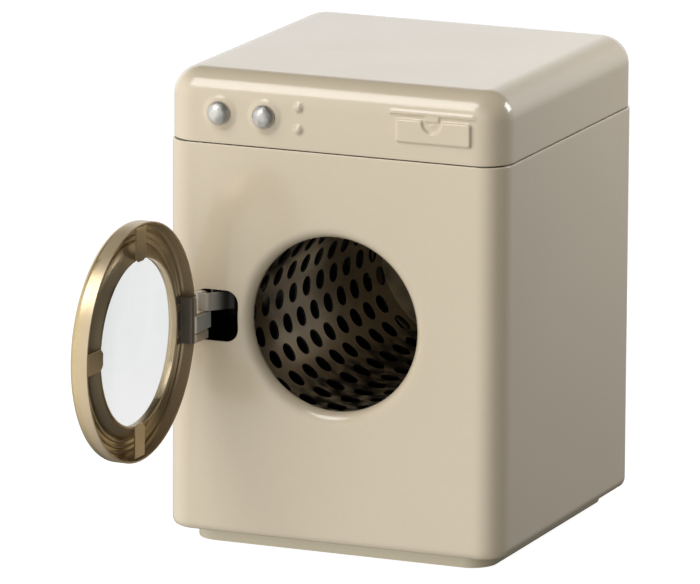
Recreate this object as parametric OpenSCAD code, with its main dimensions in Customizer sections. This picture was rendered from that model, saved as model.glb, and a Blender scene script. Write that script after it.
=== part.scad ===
/* [Cabinet] */
// Width of the cabinet, left to right
body_w = 94; // [84:1:110]
// Depth of the cabinet, front to back
body_d = 95; // [86:1:110]
// Height of the whole machine above the table
total_h = 125.4; // [112:0.2:140]
// Height of the top cap above its joint with the walls
cap_h = 18.8; // [17:0.1:21]
// Radius of the upright corners
corner_r = 8; // [8:0.1:8.5]
// Radius of the cap's soft top edge
edge_r = 7; // [5:0.1:7]
// Thickness of the painted sheet
sheet = 0.6; // [0.4:0.05:0.8]
// Height of the inset plinth below the walls
plinth_h = 3.5; // [2.5:0.25:6]
// How far the plinth stands back from the front and rear walls
plinth_front_inset = 5; // [4:0.5:9]
// How far the plinth stands back from the side walls
plinth_side_inset = 8; // [5:0.5:12]
// Width of the inward fold along the bottom of the walls
hem_w = 3; // [2:0.25:4]
// How far the neck of the walls reaches up inside the cap
neck_h = 3; // [2:0.25:4]
// Width of the lock seam that closes the wrap at the rear
lock_w = 4; // [3:0.5:6]
// How far the lock seam stands out from the rear wall
lock_t = 0.5; // [0.3:0.1:0.8]
// Distance of the lock seam from the right wall
lock_side = 17; // [14:1:28]

/* [Loading opening] */
// Height of the drum axis above the table
axis_h = 61.4; // [55:0.1:67]
// Radius of the clear opening
opening_r = 23.5; // [20:0.25:24]
// Radius of the rolled lip around the opening
lip_r = 2.4; // [2:0.1:2.6]

/* [Hinge] */
// Distance of the hinge pin from the ring's outer edge
pin_gap = 5.2; // [5:0.1:5.6]
// How far the pin's axis stands in front of the front wall
pin_out = 0.9; // [0.8:0.05:1.1]
// Radius of the hinge pin
pin_r = 0.7; // [0.5:0.05:0.8]
// Thickness of the hinge sheet
leaf_t = 0.5; // [0.4:0.05:0.6]
// Width of the land between the hinge slot and the rolled lip
slot_land = 0.1; // [0.05:0.05:0.3]
// Height of the hinge slot
slot_h = 13.5; // [13:0.1:15]
// Corner radius of the hinge slot
slot_r = 3; // [2:0.25:4]
// Distance from the pin to the slot's left edge
slot_reach = 2.5; // [2.2:0.1:3]
// Width of the leaf's foot in the ring's trough
foot_w = 4.2; // [3.5:0.1:4.8]
// How far the door stands open, in degrees from closed
door_angle = 92; // [0:1:105]

/* [Door] */
// How far the brass ring reaches past the clear opening
ring_lap = 7.3; // [6.5:0.1:8]
// Depth of the brass ring, inner edge to front face
ring_d = 5.4; // [4.5:0.1:7]
// How far the window's edge stands inside the clear opening
window_inset = 2.2; // [1.5:0.1:3.5]
// Thickness of the brass sheet
brass_t = 0.5; // [0.3:0.05:0.6]
// Gap between the closed door and the front wall
door_gap = 0.8; // [0.5:0.1:1.2]
// How far the window's collar stops short of the ring's inner edge
collar_back = 1.6; // [1.4:0.1:2.2]
// How far the clear pane reaches behind the window's edge
pane_lap = 2.4; // [2:0.1:3]
// Thickness of the clear window pane
pane_t = 0.7; // [0.5:0.1:0.8]
// Width of the clips that hold the pane
clip_w = 5.6; // [4:0.2:8]
// Thickness of the clips
clip_t = 0.4; // [0.3:0.05:0.5]
// How far the clips reach over the clear window
clip_reach = 0.4; // [0.1:0.1:1]

/* [Drum] */
// Clearance between the drum's mouth and the rolled lip
drum_gap = 0.4; // [0.3:0.05:0.6]
// Thickness of the perforated drum sheet
drum_t = 0.5; // [0.4:0.05:0.7]
// Radius of one hole in the drum
hole_r = 2.6; // [1.8:0.1:2.8]
// Distance between holes along a row
hole_pitch = 8.9; // [7.5:0.1:10]
// Number of hole rows around the drum, an even number
hole_rows = 22; // [12:2:22]
// Depth of the skirt of the drum's back cap
skirt_d = 5; // [3:0.5:8]
// Radius of the drum axle
axle_r = 1.5; // [1.2:0.1:2]
// Radius of the hub flange
hub_r = 7; // [6:0.5:10]
// Length of the hub sleeve
hub_l = 5; // [4:0.5:10]
// Radius of the bearing plate on the rear wall
plate_r = 12; // [10:1:20]
// Thickness of the bearing plate
plate_t = 0.8; // [0.6:0.1:1.2]
// Length of the bush between the drum and the bearing plate
bush_l = 1.1; // [0.9:0.1:2]

/* [Control panel] */
// Distance of the knobs' centres below the top of the cap
knob_down = 10.6; // [10.3:0.1:11.4]
// Distance of the left knob from the left wall
knob_side = 15.7; // [14:0.1:17]
// Distance between the two knobs
knob_pitch = 12.5; // [11:0.1:14]
// Radius of a knob's domed head
knob_r = 3.1; // [2.5:0.1:3.4]
// Height of a knob's dome
knob_dome = 1.9; // [1.4:0.1:2.4]
// Radius of the pressed boss around a knob
boss_r = 4.9; // [4:0.1:5.4]
// Height of the pressed bosses and of the dispenser panel
press_h = 0.6; // [0.4:0.05:0.9]
// Radius of a knob's shank
shank_r = 0.9; // [0.7:0.05:1.1]
// Distance of the two pressed dots from the right knob
dot_side = 9.5; // [8:0.1:11]
// Radius of a pressed dot
dot_r = 1.1; // [0.8:0.05:1.3]
// Distance between the two pressed dots
dot_pitch = 5.7; // [4:0.1:6]
// Distance of the dispenser panel from the right wall
panel_side = 8.3; // [8:0.1:10]
// Width of the dispenser panel
panel_w = 21; // [18:0.2:22]
// Height of the dispenser panel
panel_h = 6.6; // [6:0.2:7]
// Radius of the finger notch in the dispenser panel
notch_r = 2.9; // [2:0.1:3]
// Height of the pull ridge above the dispenser panel
ridge_h = 1.2; // [0.8:0.1:1.4]
// Width of the groove between the pull ridge and the dispenser panel
ridge_gap = 0.3; // [0.2:0.1:0.5]

/* [Hidden] */
$fn = 64;
// Running clearance of shanks, pins and axles, and the gap beside a turning face
run = 0.05;
side_run = 0.1;
// Overhang that keeps cuts clear of the faces they pass through
cut = 1;
// Overlap that joins two parts of one pressing
bite = 0.2;

front_y = -body_d / 2;
rear_y = body_d / 2;
wall_bottom = plinth_h;
seam_h = total_h - cap_h;
knob_h = total_h - knob_down;
knob_left_x = body_w / 2 - knob_side;
knob_right_x = knob_left_x - knob_pitch;
dot_x = knob_right_x - dot_side;
panel_x = body_w / 2 - panel_side - panel_w / 2;
lock_x = body_w / 2 - lock_side;
ring_r = opening_r + ring_lap;
window_r = opening_r - window_inset;
pane_r = window_r + pane_lap;
pin_x = ring_r + pin_gap;
slot_w = pin_x + slot_reach - opening_r - lip_r - slot_land;
neck_fit = 0.05;
neck_inset = sheet + neck_fit;

drum_r = opening_r + sheet + drum_gap;
mouth_y = front_y + lip_r - 0.2;
plate_y = rear_y - sheet - plate_t;
drum_end_y = plate_y - bush_l;
tube_end_y = drum_end_y - drum_t;
hub_y = tube_end_y - plate_t;
washer_t = 0.6;
washer_y = hub_y - hub_l - washer_t - side_run;
head_t = 1.2;
rivet_r = 0.8;
rivet_head_t = 0.3;
rivet_ring_r = (hub_r + 2 * axle_r) / 2;
rows_half = hole_rows / 2;
// Half of the rows' count in pitches keeps opposite holes in line and closes the pattern
row_shift = hole_pitch * round(rows_half * 7 / 11) / rows_half;
first_hole_y = front_y + 8.7;
row_phase = 254;
holes_end_y = tube_end_y - hole_r - drum_t;

inner_y = front_y - door_gap;
door_front_y = inner_y - ring_d;
pin_y = front_y - pin_out;
knuckle_r = pin_r + run + leaf_t + bite;
slot_left = -pin_x - slot_reach;
slot_z = axis_h - slot_h / 2;
leaf_gap = 0.6;
knuckle_split = 0.6 * slot_h;
leaf_z = slot_z + leaf_gap;
leaf_top = slot_z + slot_h - leaf_gap;
split_z = slot_z + knuckle_split;
bracket_z = split_z + side_run;
leaf_back_y = pin_y + knuckle_r - leaf_t;
web_x = -pin_x + knuckle_r + 1.0;
fold_x = slot_left + slot_w - 2;
foot_x = fold_x - leaf_t + foot_w;
trough_y = door_front_y + brass_t;
pane_y = inner_y - collar_back;

module along_y(y = 0) {
    translate([0, y, 0]) rotate([-90, 0, 0]) children();
}

module rounded(w, d, r) {
    square([w - 2 * r, d], center = true);
    square([w, d - 2 * r], center = true);
    for (x = [-1, 1], y = [-1, 1]) translate([x * (w / 2 - r), y * (d / 2 - r)]) circle(r);
}

module block(w, d, r, z0, z1) {
    translate([0, 0, z0]) linear_extrude(z1 - z0) rounded(w, d, r);
}

// An upright wall that follows the cabinet's outline, from one inset to another
module wall(inset, t, z0, z1) {
    difference() {
        block(body_w - 2 * inset, body_d - 2 * inset, corner_r - inset, z0, z1);
        block(body_w - 2 * (inset + t), body_d - 2 * (inset + t), corner_r - inset - t, z0 - cut, z1 + cut);
    }
}

// A plate that follows a rounded outline in the plane of the front wall
module front_plate(w, h, r, y0, y1) {
    translate([0, y0, 0]) rotate([-90, 0, 0]) linear_extrude(y1 - y0) rounded(w, h, r);
}

// A ring around an axis along Y
module tube_y(r_out, r_in, y0, y1) {
    along_y(y0) difference() {
        cylinder(r = r_out, h = y1 - y0);
        translate([0, 0, -cut]) cylinder(r = r_in, h = y1 - y0 + 2 * cut);
    }
}

module at_axis() {
    translate([0, 0, axis_h]) children();
}

// Places a door piece, drawn closed, at its open angle about the hinge pin
module at_door() {
    translate([-pin_x, pin_y, 0]) rotate([0, 0, -door_angle]) translate([pin_x, -pin_y, 0]) children();
}

module lip() {
    along_y(front_y) rotate_extrude() intersection() {
        translate([opening_r + lip_r, lip_r]) difference() {
            circle(lip_r);
            circle(lip_r - sheet);
        }
        translate([opening_r, 0]) square([lip_r, lip_r]);
    }
}

module body_shell() {
    color("wheat") difference() {
        union() {
            difference() {
                wall(0, sheet, wall_bottom, seam_h);
                at_axis() along_y(front_y - cut) cylinder(r = opening_r + lip_r, h = 2 * cut + sheet);
            }
            at_axis() lip();
            wall(sheet / 2, neck_inset + sheet / 2, seam_h - 2 * sheet, seam_h - sheet / 2);
            wall(neck_inset, sheet, seam_h - sheet, seam_h + neck_h);
            wall(sheet / 2, hem_w - sheet / 2, wall_bottom, wall_bottom + sheet);
            translate([lock_x - lock_w / 2, rear_y - sheet / 2, wall_bottom])
                cube([lock_w, sheet / 2 + lock_t, seam_h - wall_bottom]);
        }
        translate([slot_left + slot_w / 2, 0, slot_z + slot_h / 2])
            front_plate(slot_w, slot_h, slot_r, front_y - cut, front_y + sheet + 3 * cut);
        at_axis() along_y(rear_y - sheet - cut) cylinder(r = axle_r, h = 2 * cut + sheet);
    }
}

// A closed box with upright round corners and a round top edge
module soft_block(inset, z0, z1) {
    r = edge_r - inset;
    plan_r = corner_r - inset;
    w = body_w - 2 * inset;
    d = body_d - 2 * inset;
    x = body_w / 2 - corner_r;
    y = body_d / 2 - corner_r;
    z = z1 - inset - r;
    block(w, d, plan_r, z0, z);
    block(w - 2 * r, d - 2 * r, plan_r - r, z - cut, z + r);
    for (sx = [-1, 1], sy = [-1, 1]) translate([sx * x, sy * y, z]) corner_dome(plan_r, r);
    for (s = [-1, 1]) {
        translate([-x, s * (d / 2 - r), z]) rotate([0, 90, 0]) cylinder(r = r, h = 2 * x);
        translate([s * (w / 2 - r), -y, z]) rotate([-90, 0, 0]) cylinder(r = r, h = 2 * y);
    }
}

// The round corner where the cap's top edge turns around an upright corner
module corner_dome(plan_r, r) {
    rotate_extrude() {
        intersection() {
            translate([plan_r - r, 0]) circle(r);
            square([plan_r, r]);
        }
        square([plan_r - r, r]);
    }
}

// The pressed dispenser panel with its finger notch, and the pull ridge above it
module dispenser() {
    ridge_w = panel_w + 2 * ridge_h;
    ridge_z = (panel_h + ridge_h) / 2 + ridge_gap;
    depth = sheet + bite;
    difference() {
        front_plate(panel_w, panel_h, 1, front_y - press_h, front_y - press_h + depth);
        translate([0, front_y - press_h - cut, panel_h / 2]) rotate([-90, 0, 0])
            cylinder(r = notch_r, h = cut + press_h / 2);
    }
    translate([0, 0, ridge_z])
        front_plate(ridge_w, ridge_h, ridge_h / 3, front_y - press_h, front_y - press_h + depth);
}

module top_cap() {
    color("wheat") difference() {
        union() {
            difference() {
                soft_block(0, seam_h, total_h);
                soft_block(sheet, seam_h - cut, total_h);
            }
            for (x = [knob_left_x, knob_right_x]) translate([-x, 0, knob_h])
                along_y(front_y - press_h) cylinder(r = boss_r, h = press_h + sheet / 2);
            for (i = [-0.5, 0.5]) translate([-dot_x, 0, knob_h + i * dot_pitch])
                along_y(front_y - press_h) cylinder(r = dot_r, h = press_h + sheet / 2);
            translate([panel_x, 0, knob_h]) dispenser();
        }
        for (x = [knob_left_x, knob_right_x]) translate([-x, 0, knob_h])
            along_y(front_y - press_h - cut) cylinder(r = shank_r + run, h = press_h + sheet + 2 * cut);
    }
}

module base_pan() {
    w = body_w - 2 * plinth_side_inset;
    d = body_d - 2 * plinth_front_inset;
    top = wall_bottom + 2 * sheet;
    rim = neck_inset;
    color("tan") {
        difference() {
            union() {
                block(w, d, corner_r, 0, top);
                block(body_w - 2 * rim, body_d - 2 * rim, corner_r - rim, wall_bottom + sheet, top);
            }
            block(w - 2 * sheet, d - 2 * sheet, corner_r - sheet, sheet, top + cut);
        }
        wall(rim, sheet, wall_bottom + sheet, wall_bottom + sheet + 2 * hem_w);
    }
}

module axle_plate() {
    color("silver") at_axis() tube_y(plate_r, axle_r, plate_y, plate_y + plate_t);
}

module axle_bush() {
    color("silver") at_axis() tube_y(2 * axle_r, axle_r, drum_end_y + side_run, plate_y);
}

module drum_axle() {
    head_r = 2 * axle_r;
    shank_y = washer_y - head_t;
    color("silver") at_axis() {
        along_y(shank_y) cylinder(r = axle_r, h = rear_y + head_t / 2 - shank_y);
        along_y(shank_y) cylinder(r = head_r, h = head_t);
        along_y(rear_y) cylinder(r = head_r, h = head_t);
    }
}

module axle_washer() {
    color("silver") at_axis() tube_y(2.4 * axle_r, axle_r, washer_y, washer_y + washer_t);
}

module drum_holes() {
    for (j = [0:hole_rows - 1]) {
        start = first_hole_y + (j % rows_half) * row_shift;
        shift = floor((start - mouth_y - hole_r) / hole_pitch) * hole_pitch;
        for (y = [start - shift:hole_pitch:holes_end_y])
            translate([0, y, 0]) rotate([0, row_phase + j * 360 / hole_rows, 0])
                translate([0, 0, drum_r - drum_t]) cylinder(r = hole_r, h = 3 * drum_t);
    }
}

module drum_shell() {
    color("rosybrown") at_axis() difference() {
        tube_y(drum_r + drum_t, drum_r, mouth_y, tube_end_y);
        drum_holes();
    }
}

module rivet_circle() {
    for (a = [45:90:315]) rotate([0, a, 0]) translate([rivet_ring_r, 0, 0]) children();
}

module drum_back() {
    color("rosybrown") at_axis() difference() {
        union() {
            tube_y(drum_r + 2 * drum_t, axle_r + 2 * run, tube_end_y, drum_end_y);
            tube_y(drum_r + 2 * drum_t, drum_r + drum_t, tube_end_y - skirt_d, tube_end_y + bite);
        }
        rivet_circle() along_y(tube_end_y - cut) cylinder(r = rivet_r, h = 2 * cut + drum_t);
    }
}

module drum_hub() {
    color("silver") at_axis() difference() {
        union() {
            tube_y(hub_r, axle_r + run, hub_y, tube_end_y);
            tube_y(2 * axle_r, axle_r + run, hub_y - hub_l, hub_y + bite);
        }
        rivet_circle() along_y(hub_y - cut) cylinder(r = rivet_r, h = 2 * cut + plate_t);
    }
}

module hub_rivets() {
    color("silver") at_axis() rivet_circle() {
        along_y(hub_y - rivet_head_t) cylinder(r = 1.5 * rivet_r, h = rivet_head_t);
        along_y(hub_y - rivet_head_t) cylinder(r = rivet_r, h = drum_end_y - hub_y + 2 * rivet_head_t);
        along_y(drum_end_y) cylinder(r = 1.5 * rivet_r, h = rivet_head_t);
    }
}

module hinge_bracket() {
    z1 = leaf_top;
    web_back = front_y + sheet + 3;
    foot_top = slot_z + slot_h + 7;
    color("gray") difference() {
        union() {
            translate([-pin_x, pin_y, bracket_z]) cylinder(r = knuckle_r, h = z1 - bracket_z);
            translate([-pin_x, pin_y - knuckle_r, bracket_z]) cube([web_x + pin_x, leaf_t, z1 - bracket_z]);
            translate([web_x - leaf_t, pin_y - knuckle_r, bracket_z])
                cube([leaf_t, web_back - pin_y + knuckle_r, z1 - bracket_z]);
            translate([web_x - leaf_t, front_y + sheet, bracket_z])
                cube([leaf_t, web_back - front_y - sheet, foot_top - bracket_z]);
            translate([web_x - leaf_t, front_y + sheet, slot_z + slot_h + leaf_gap])
                cube([5, leaf_t, foot_top - slot_z - slot_h - leaf_gap]);
        }
        translate([-pin_x, pin_y, bracket_z - cut]) cylinder(r = pin_r, h = z1 - bracket_z + 2 * cut);
    }
}

module hinge_pin() {
    z0 = leaf_z - side_run;
    color("silver") translate([-pin_x, pin_y, z0]) {
        cylinder(r = pin_r, h = leaf_top - z0);
        translate([0, 0, leaf_top - z0]) cylinder(r = pin_r + leaf_t, h = leaf_gap / 2);
        translate([0, 0, -leaf_gap / 2]) cylinder(r = pin_r + leaf_t, h = leaf_gap / 2);
    }
}

// Section of the door ring, radius against distance from the front face
module ring_section() {
    lip_out = 2;
    lip_in = 1;
    collar_len = ring_d - collar_back;
    difference() {
        union() {
            translate([window_r, 0]) square([ring_r - window_r - lip_out, brass_t]);
            translate([window_r, lip_in]) square([brass_t, collar_len - lip_in]);
            translate([ring_r - brass_t, lip_out]) square([brass_t, ring_d - lip_out]);
            intersection() {
                translate([ring_r - lip_out, lip_out]) difference() {
                    circle(lip_out);
                    circle(lip_out - brass_t);
                }
                translate([ring_r - lip_out, 0]) square([lip_out, lip_out]);
            }
            translate([window_r, brass_t / 2]) square([lip_in, lip_in]);
        }
        difference() {
            translate([window_r - cut, -cut]) square([lip_in + cut, lip_in + cut]);
            translate([window_r + lip_in, lip_in]) circle(lip_in);
        }
    }
}

module leaf_rivet_places() {
    for (z = [-1, 1]) translate([(foot_x + fold_x) / 2, 0, axis_h + z * slot_h / 4]) children();
}

module door_ring() {
    color("darkgoldenrod") at_door() difference() {
        at_axis() along_y(door_front_y) rotate_extrude() ring_section();
        leaf_rivet_places() along_y(door_front_y - cut) cylinder(r = rivet_r, h = brass_t + 2 * cut);
    }
}

module door_pane() {
    color("white", 0.4) at_door() at_axis() along_y(pane_y) cylinder(r = pane_r, h = pane_t);
}

// A clip bent from the ring's wall across the trough onto the edge of the pane
module clip() {
    clip_y = pane_y + pane_t;
    foot_y = door_front_y + ring_d / 2;
    inner = window_r - clip_reach;
    // The clip's flat foot stands inside the round wall and meets it along both edges
    wall_r = ring_r - brass_t;
    seat = sqrt(wall_r * wall_r - clip_w * clip_w / 4);
    color("darkgoldenrod") {
        translate([-clip_w / 2, clip_y, inner]) cube([clip_w, clip_t, seat - inner]);
        translate([-clip_w / 2, foot_y, seat - clip_t]) cube([clip_w, clip_y + clip_t - foot_y, clip_t]);
    }
}

module clip_top() {
    at_door() at_axis() clip();
}

module clip_side() {
    at_door() at_axis() rotate([0, 90, 0]) clip();
}

module clip_bottom() {
    at_door() at_axis() rotate([0, 180, 0]) clip();
}

module door_leaf() {
    full_x = web_x + leaf_gap;
    color("gray") at_door() difference() {
        union() {
            translate([-pin_x, pin_y, leaf_z]) cylinder(r = knuckle_r, h = split_z - leaf_z);
            translate([-pin_x, leaf_back_y, leaf_z]) cube([fold_x + pin_x, leaf_t, split_z - leaf_z]);
            translate([full_x, leaf_back_y, leaf_z]) cube([fold_x - full_x, leaf_t, leaf_top - leaf_z]);
            translate([fold_x - leaf_t, trough_y, leaf_z])
                cube([leaf_t, leaf_back_y + leaf_t - trough_y, leaf_top - leaf_z]);
            translate([fold_x - leaf_t, trough_y, leaf_z]) cube([foot_w, leaf_t, leaf_top - leaf_z]);
        }
        translate([-pin_x, pin_y, leaf_z - cut]) cylinder(r = pin_r + run, h = split_z - leaf_z + 2 * cut);
        leaf_rivet_places() along_y(trough_y - cut) cylinder(r = rivet_r, h = leaf_t + 2 * cut);
    }
}

module leaf_rivets() {
    color("darkgoldenrod") at_door() leaf_rivet_places() {
        along_y(door_front_y - rivet_head_t) cylinder(r = 1.3 * rivet_r, h = rivet_head_t);
        along_y(door_front_y - rivet_head_t) cylinder(r = rivet_r, h = brass_t + leaf_t + 2 * rivet_head_t);
        along_y(trough_y + leaf_t) cylinder(r = 1.3 * rivet_r, h = rivet_head_t);
    }
}

module knob(x) {
    base_y = front_y - press_h - side_run;
    edge_t = 0.5;
    // Radius of the sphere that the dome is cut from
    dome_r = (knob_r * knob_r + knob_dome * knob_dome) / (2 * knob_dome);
    shank_end = front_y + sheet + 2 * side_run + brass_t;
    color("lightgray") translate([-x, 0, knob_h]) {
        along_y(base_y - edge_t) cylinder(r = knob_r, h = edge_t);
        along_y(base_y - edge_t) rotate([180, 0, 0]) intersection() {
            translate([0, 0, knob_dome - dome_r]) sphere(dome_r);
            cylinder(r = knob_r, h = knob_dome + cut);
        }
        along_y(base_y - bite) cylinder(r = shank_r, h = shank_end - base_y + bite);
    }
}

module knob_washer(x) {
    washer = front_y + sheet + side_run;
    color("silver") translate([-x, 0, knob_h]) tube_y(2.5 * shank_r, shank_r, washer, washer + brass_t);
}

module knob_left() {
    knob(knob_left_x);
}

module knob_left_washer() {
    knob_washer(knob_left_x);
}

module knob_right() {
    knob(knob_right_x);
}

module knob_right_washer() {
    knob_washer(knob_right_x);
}

body_shell();
top_cap();
base_pan();
axle_plate();
axle_bush();
drum_axle();
axle_washer();
hinge_bracket();
hinge_pin();
drum_shell();
drum_back();
drum_hub();
hub_rivets();
door_ring();
door_pane();
clip_top();
clip_side();
clip_bottom();
door_leaf();
leaf_rivets();
knob_left();
knob_left_washer();
knob_right();
knob_right_washer();
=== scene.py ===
import bpy
import bmesh
import math
from mathutils import Euler, Matrix, Vector, noise
from mathutils.geometry import tessellate_polygon


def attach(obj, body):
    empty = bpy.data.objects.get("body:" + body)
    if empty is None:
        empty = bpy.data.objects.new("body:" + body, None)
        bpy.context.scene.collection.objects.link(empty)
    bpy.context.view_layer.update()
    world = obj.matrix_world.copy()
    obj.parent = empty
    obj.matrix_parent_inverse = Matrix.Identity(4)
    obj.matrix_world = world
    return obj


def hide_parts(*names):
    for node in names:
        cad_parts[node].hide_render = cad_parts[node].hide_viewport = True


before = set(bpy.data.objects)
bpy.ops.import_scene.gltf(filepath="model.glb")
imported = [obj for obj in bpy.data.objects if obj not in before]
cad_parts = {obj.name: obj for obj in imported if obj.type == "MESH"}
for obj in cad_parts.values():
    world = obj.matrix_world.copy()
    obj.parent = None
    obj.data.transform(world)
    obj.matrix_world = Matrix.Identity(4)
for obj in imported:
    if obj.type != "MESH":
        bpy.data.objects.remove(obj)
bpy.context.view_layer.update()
scene = bpy.context.scene
mm = 0.001
print("frame loaded")

# Shared measures, in millimetres
cabinet = {
    "width": 94.0, "depth": 95.0, "height": 125.4, "seam": 106.6, "bottom": 3.5,
    "corner": 7.0, "capCorner": 8.3, "edge": 7.4, "sheet": 0.6, "axis": 61.4,
}
frontY = -cabinet["depth"] / 2
rearY = cabinet["depth"] / 2


# Mesh helpers

def arc(cu, cv, r, start, end, steps):
    out = []
    for i in range(steps + 1):
        a = math.radians(start + (end - start) * i / steps)
        out.append((cu + r * math.cos(a), cv + r * math.sin(a)))
    return out


def smoothStep(a, b, t):
    t = min(1.0, max(0.0, (t - a) / (b - a)))
    return t * t * (3 - 2 * t)


def roundedBox(w, h, r, steps=8):
    out = []
    for cu, cv, a in (
        (w / 2 - r, h / 2 - r, 0), (r - w / 2, h / 2 - r, 90), (r - w / 2, r - h / 2, 180),
        (w / 2 - r, r - h / 2, 270)
    ):
        out += arc(cu, cv, r, a, a + 90, steps)
    return out


def boxDistance(u, v, w, h, r):
    du = abs(u) - w / 2 + r
    dv = abs(v) - h / 2 + r
    return math.hypot(max(du, 0), max(dv, 0)) + min(max(du, dv), 0) - r


# Points of a circle, starting on its right
def circle(cu, cv, r, count):
    angles = [2 * math.pi * i / count for i in range(count)]
    return [(cu + r * math.cos(a), cv + r * math.sin(a)) for a in angles]


# Angles from nothing to a right angle
def quarter(steps):
    return [math.pi / 2 * i / steps for i in range(steps + 1)]


def ringFaces(count, loops, closedLoops=False):
    out = []
    for k in range(loops if closedLoops else loops - 1):
        a = k * count
        b = ((k + 1) % loops) * count
        for i in range(count):
            j = (i + 1) % count
            out.append((a + i, a + j, b + j, b + i))
    return out


class Build:
    def __init__(self):
        self.points = []
        self.faces = []

    def add(self, points, faces):
        base = len(self.points)
        self.points += points
        self.faces += [tuple(i + base for i in f) for f in faces]

    def loops(self, rings, closed=False, caps=True):
        count = len(rings[0])
        points = [p for ring in rings for p in ring]
        faces = ringFaces(count, len(rings), closed)
        if caps and not closed:
            faces.append(tuple(range(count)))
            faces.append(tuple(range((len(rings) - 1) * count, len(rings) * count)))
        self.add(points, faces)

    def lid(self, ring):
        self.add(ring, [tuple(range(len(ring)))])


def finishMesh(build, name, sharp=38, weld=0.0015):
    mesh = bpy.data.meshes.new(name)
    mesh.from_pydata([(x * mm, y * mm, z * mm) for x, y, z in build.points], [], build.faces)
    bm = bmesh.new()
    bm.from_mesh(mesh)
    bmesh.ops.remove_doubles(bm, verts=bm.verts, dist=weld * mm)
    bmesh.ops.dissolve_degenerate(bm, edges=bm.edges, dist=weld * mm * 0.2)
    bmesh.ops.recalc_face_normals(bm, faces=bm.faces)
    bm.to_mesh(mesh)
    bm.free()
    mesh.shade_smooth()
    mesh.set_sharp_from_angle(angle=math.radians(sharp))
    obj = bpy.data.objects.new(name, mesh)
    scene.collection.objects.link(obj)
    return obj


def register(obj, body, node, material):
    obj.data.materials.clear()
    obj.data.materials.append(material)
    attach(obj, body)
    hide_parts(*([node] if isinstance(node, str) else node))
    return obj


# Lathes turn (radius, distance along the axis) profiles about a Y axis
def lathe(build, profile, steps, centre=(0, 0), closed=True, wobble=None):
    rings = []
    for r, y in profile:
        ring = [(u, y, v) for u, v in circle(*centre, r, steps)]
        rings.append([wobble(p, r) for p in ring] if wobble else ring)
    build.loops(rings, closed=closed, caps=not closed)


def softProfile(corners, radius, steps=3, closed=True):
    out = []
    n = len(corners)
    for i, (u, v) in enumerate(corners):
        if not closed and i in (0, n - 1):
            out.append((u, v))
            continue
        pu, pv = corners[i - 1]
        nu, nv = corners[(i + 1) % n]
        la = math.hypot(pu - u, pv - v)
        lb = math.hypot(nu - u, nv - v)
        r = min(radius, la * 0.45, lb * 0.45)
        a = (u + (pu - u) / la * r, v + (pv - v) / la * r)
        b = (u + (nu - u) / lb * r, v + (nv - v) / lb * r)
        for k in range(steps + 1):
            t = k / steps
            s = 1 - t
            out.append(
                (s * s * a[0] + 2 * s * t * u + t * t * b[0], s * s * a[1] + 2 * s * t * v + t * t * b[1])
            )
    return out


# A bent strip of sheet: path of (u, v), half widths low and high along w at each station
def strip(build, path, thickness, low, high, place, bevel=0.08):
    rings = []
    n = len(path)
    for i, (u, v) in enumerate(path):
        a = path[max(0, i - 1)]
        b = path[min(n - 1, i + 1)]
        length = math.hypot(b[0] - a[0], b[1] - a[1])
        nu, nv = -(b[1] - a[1]) / length, (b[0] - a[0]) / length
        w0, w1 = low[i], high[i]
        t = thickness / 2
        c = min(bevel, t * 0.9, (w1 - w0) * 0.3)
        ring = []
        for s, w in (
            (-t + c, w0), (t - c, w0), (t, w0 + c), (t, w1 - c), (t - c, w1), (-t + c, w1), (-t, w1 - c),
            (-t, w0 + c)
        ):
            ring.append(place(u + nu * s, v + nv * s, w))
        rings.append(ring)
    build.loops(rings)


def densePath(corners, radius, step=0.5, bends=6):
    soft = softProfile(corners, radius, bends, closed=False)
    out = [soft[0]]
    for a, b in zip(soft, soft[1:]):
        d = math.hypot(b[0] - a[0], b[1] - a[1])
        k = max(1, int(d / step))
        for i in range(1, k + 1):
            out.append((a[0] + (b[0] - a[0]) * i / k, a[1] + (b[1] - a[1]) * i / k))
    return out


def lengths(path):
    out = [0.0]
    for a, b in zip(path, path[1:]):
        out.append(out[-1] + math.hypot(b[0] - a[0], b[1] - a[1]))
    return out


# Materials

def newMaterial(name):
    material = bpy.data.materials.new(name)
    material.use_nodes = True
    tree = material.node_tree
    tree.nodes.clear()
    out = tree.nodes.new("ShaderNodeOutputMaterial")
    shader = tree.nodes.new("ShaderNodeBsdfPrincipled")
    tree.links.new(shader.outputs[0], out.inputs[0])
    coords = tree.nodes.new("ShaderNodeTexCoord")
    return material, tree, shader, coords.outputs["Object"]


def noiseNode(tree, coords, scale, detail=3.0, rough=0.55, stretch=(1, 1, 1)):
    node = tree.nodes.new("ShaderNodeTexNoise")
    node.inputs["Scale"].default_value = scale
    node.inputs["Detail"].default_value = detail
    node.inputs["Roughness"].default_value = rough
    mapping = tree.nodes.new("ShaderNodeMapping")
    mapping.inputs["Scale"].default_value = stretch
    tree.links.new(coords, mapping.inputs["Vector"])
    tree.links.new(mapping.outputs[0], node.inputs["Vector"])
    return node.outputs["Fac"]


def rampNode(tree, value, stops):
    node = tree.nodes.new("ShaderNodeValToRGB")
    ramp = node.color_ramp
    while len(ramp.elements) < len(stops):
        ramp.elements.new(0.5)
    for element, (pos, colour) in zip(ramp.elements, stops):
        element.position = pos
        element.color = (*colour, 1)
    tree.links.new(value, node.inputs["Fac"])
    return node.outputs["Color"]


def rangeNode(tree, value, low, high, start=0.3, end=0.7):
    node = tree.nodes.new("ShaderNodeMapRange")
    node.inputs["From Min"].default_value = start
    node.inputs["From Max"].default_value = end
    node.inputs["To Min"].default_value = low
    node.inputs["To Max"].default_value = high
    tree.links.new(value, node.inputs["Value"])
    return node.outputs["Result"]


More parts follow.
